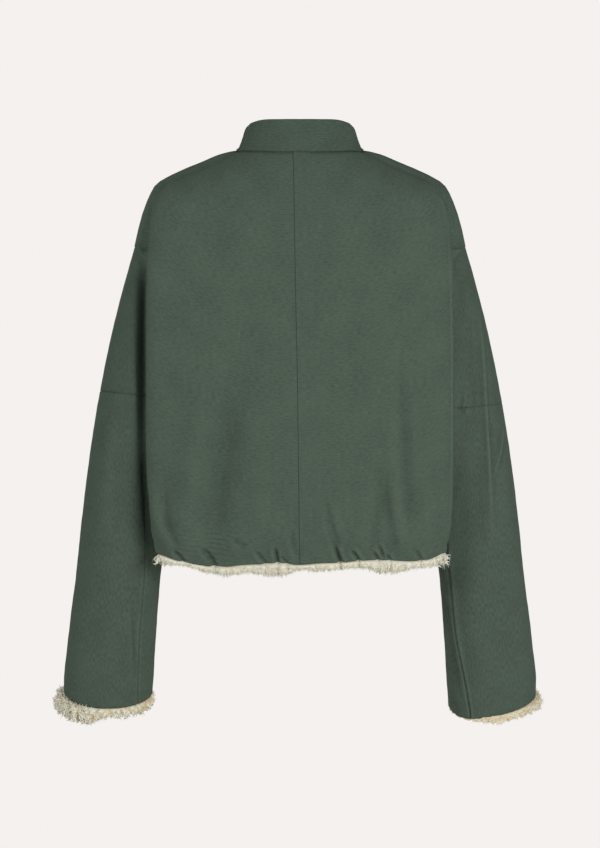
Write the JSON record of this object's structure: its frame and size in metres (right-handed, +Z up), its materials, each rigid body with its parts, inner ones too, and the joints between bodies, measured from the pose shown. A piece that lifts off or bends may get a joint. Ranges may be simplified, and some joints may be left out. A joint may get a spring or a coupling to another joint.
{
  "type": "reversible coat",
  "caption": "Cropped boxy coat with a stand collar, dropped sleeves and a stitched centre-back strip, its pale pile lining showing under the hem and at the cuffs, worn and hollow.",
  "frame": {"origin": "The middle of the neck hole, level with the collar seam at the centre back, where the coat is held on its wearer.", "axes": "+Z is up. The front faces -Y and the back faces +Y. The wearer's left is +X."},
  "size_m": [0.6481, 0.2297, 0.7804],
  "materials": {
    "shell_cloth": "dark green woven cloth, matte with a faint sheen",
    "collar_cloth": "dark green woven cloth, topstitched in close rows",
    "sleeve_cloth": "dark green woven cloth, matte with a faint sheen",
    "pile": "cream curly pile"
  },
  "bodies": {
    "root": {"back_left": "shell_cloth", "back_right": "shell_cloth", "back_strip": "shell_cloth", "front_left": "shell_cloth", "front_right": "shell_cloth", "collar": "collar_cloth", "sleeve_upper_left": "sleeve_cloth", "sleeve_upper_right": "sleeve_cloth", "sleeve_lower_left": "sleeve_cloth", "sleeve_lower_right": "sleeve_cloth", "fur_hem_back": "pile", "fur_hem_left": "pile", "fur_hem_right": "pile", "fur_cuff_left": "pile", "fur_cuff_right": "pile"}
  },
  "joints": []
}
